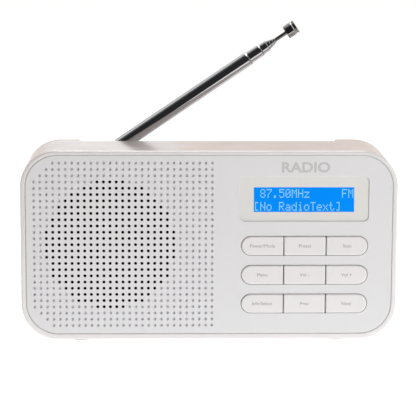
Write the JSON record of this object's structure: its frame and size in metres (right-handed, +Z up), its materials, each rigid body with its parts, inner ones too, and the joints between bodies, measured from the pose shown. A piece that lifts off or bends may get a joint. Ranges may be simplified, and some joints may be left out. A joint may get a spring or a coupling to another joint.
{
  "type": "tabletop radio",
  "caption": "Compact white tabletop radio with a perforated loudspeaker front, a blue text display, pill-shaped key rows and a folding telescopic antenna.",
  "frame": {"origin": "on the surface the radio stands on, under the middle of its bounding box", "axes": "+X to the right as seen from the front, +Y from the front panel to the back, +Z up"},
  "size_m": [0.16, 0.0406, 0.135],
  "materials": {
    "shell_white": "gloss",
    "door_white": "gloss",
    "panel_white": "satin",
    "key_white": "satin",
    "lens_white": "gloss",
    "foot_rubber": "matte",
    "keypad_rubber": "matte",
    "lcd_glass": "gloss",
    "backlight": "satin",
    "bezel_steel": "satin",
    "circuit_board": "satin",
    "tinned_can": "satin",
    "ribbon": "matte",
    "lead_red": "satin",
    "lead_grey": "satin",
    "jack_black": "satin",
    "speaker_steel": "satin",
    "speaker_paper": "matte",
    "ferrite": "matte",
    "foam": "matte",
    "grille_cloth": "matte",
    "nickel": "bright",
    "screw_steel": "bright",
    "bracket_steel": "bright",
    "antenna_chrome": "mirror bright"
  },
  "bodies": {
    "cabinet": {"cabinet_shell": "shell_white", "front_panel": "panel_white", "foot_front_left": "foot_rubber", "foot_front_right": "foot_rubber", "foot_rear_left": "foot_rubber", "foot_rear_right": "foot_rubber", "display_lens": "lens_white", "keypad_mat": "keypad_rubber", "lcd_glass": "lcd_glass", "lcd_backlight": "backlight", "lcd_bezel": "bezel_steel", "control_board": "circuit_board", "main_board": "circuit_board", "tuner_module": "tinned_can", "board_ribbon": "ribbon", "speaker_wire": "lead_red", "antenna_wire": "lead_grey", "dc_jack": "jack_black", "earphone_jack": "jack_black", "speaker_frame": "speaker_steel", "speaker_cone": "speaker_paper", "speaker_magnet": "ferrite", "speaker_gasket": "foam", "grille_cloth": "grille_cloth", "battery_contact_1": "nickel", "battery_contact_2": "nickel", "battery_contact_3": "nickel", "battery_contact_4": "nickel", "battery_contact_5": "nickel", "rear_screw_1": "screw_steel", "rear_screw_2": "screw_steel", "rear_screw_3": "screw_steel", "rear_screw_4": "screw_steel", "board_screw_1": "screw_steel", "board_screw_2": "screw_steel", "speaker_screw_1": "screw_steel", "speaker_screw_2": "screw_steel", "speaker_screw_3": "screw_steel", "antenna_bracket": "bracket_steel", "antenna_pivot_screw": "bracket_steel"},
    "battery_door": {"battery_door": "door_white"},
    "antenna_base": {"antenna_knuckle": "antenna_chrome", "antenna_section_1": "antenna_chrome"},
    "antenna_slide_2": {"antenna_section_2": "antenna_chrome"},
    "antenna_slide_3": {"antenna_section_3": "antenna_chrome"},
    "antenna_slide_4": {"antenna_section_4": "antenna_chrome"},
    "antenna_slide_5": {"antenna_section_5": "antenna_chrome"},
    "antenna_slide_6": {"antenna_section_6": "antenna_chrome"},
    "antenna_slide_7": {"antenna_rod": "antenna_chrome", "antenna_tip": "antenna_chrome"},
    "button_power": {"button_power": "key_white"},
    "button_preset": {"button_preset": "key_white"},
    "button_scan": {"button_scan": "key_white"},
    "button_menu": {"button_menu": "key_white"},
    "button_volume_down": {"button_volume_down": "key_white"},
    "button_volume_up": {"button_volume_up": "key_white"},
    "button_select": {"button_select": "key_white"},
    "button_previous": {"button_previous": "key_white"},
    "button_next": {"button_next": "key_white"}
  },
  "joints": [
    {"name": "antenna_fold", "type": "hinge", "parent": "cabinet", "child": "antenna_base", "pos_m": [-0.04178, 0.01525, 0.0782], "axis": [0, -1, 0], "range_deg": [-34.2, 105]},
    {"name": "antenna_extend_1", "type": "slide", "parent": "antenna_base", "child": "antenna_slide_2", "axis": [0.8268, 0, 0.5625], "range_m": [-0.0053, 0.048]},
    {"name": "antenna_extend_2", "type": "slide", "parent": "antenna_slide_2", "child": "antenna_slide_3", "axis": [0.8268, 0, 0.5625], "range_m": [-0.0021, 0.05]},
    {"name": "antenna_extend_3", "type": "slide", "parent": "antenna_slide_3", "child": "antenna_slide_4", "axis": [0.8268, 0, 0.5625], "range_m": [-0.0003, 0.052]},
    {"name": "antenna_extend_4", "type": "slide", "parent": "antenna_slide_4", "child": "antenna_slide_5", "axis": [0.8268, 0, 0.5625], "range_m": [-0.0002, 0.0515]},
    {"name": "antenna_extend_5", "type": "slide", "parent": "antenna_slide_5", "child": "antenna_slide_6", "axis": [0.8268, 0, 0.5625], "range_m": [0, 0.0505]},
    {"name": "antenna_extend_6", "type": "slide", "parent": "antenna_slide_6", "child": "antenna_slide_7", "axis": [0.8268, 0, 0.5625], "range_m": [-0.0048, 0.0455]},
    {"name": "press_power", "type": "slide", "parent": "cabinet", "child": "button_power", "axis": [0, 1, 0], "range_m": [0, 0.0007], "stiffness_N_per_m": 1500},
    {"name": "press_preset", "type": "slide", "parent": "cabinet", "child": "button_preset", "axis": [0, 1, 0], "range_m": [0, 0.0007], "stiffness_N_per_m": 1500},
    {"name": "press_scan", "type": "slide", "parent": "cabinet", "child": "button_scan", "axis": [0, 1, 0], "range_m": [0, 0.0007], "stiffness_N_per_m": 1500},
    {"name": "press_menu", "type": "slide", "parent": "cabinet", "child": "button_menu", "axis": [0, 1, 0], "range_m": [0, 0.0007], "stiffness_N_per_m": 1500},
    {"name": "press_volume_down", "type": "slide", "parent": "cabinet", "child": "button_volume_down", "axis": [0, 1, 0], "range_m": [0, 0.0007], "stiffness_N_per_m": 1500},
    {"name": "press_volume_up", "type": "slide", "parent": "cabinet", "child": "button_volume_up", "axis": [0, 1, 0], "range_m": [0, 0.0007], "stiffness_N_per_m": 1500},
    {"name": "press_select", "type": "slide", "parent": "cabinet", "child": "button_select", "axis": [0, 1, 0], "range_m": [0, 0.0007], "stiffness_N_per_m": 1500},
    {"name": "press_previous", "type": "slide", "parent": "cabinet", "child": "button_previous", "axis": [0, 1, 0], "range_m": [0, 0.0007], "stiffness_N_per_m": 1500},
    {"name": "press_next", "type": "slide", "parent": "cabinet", "child": "button_next", "axis": [0, 1, 0], "range_m": [0, 0.0007], "stiffness_N_per_m": 1500},
    {"name": "battery_door_swing", "type": "hinge", "parent": "cabinet", "child": "battery_door", "pos_m": [0.03125, 0.02025, 0.0071], "axis": [-1, 0, 0], "range_deg": [0, 85]}
  ]
}
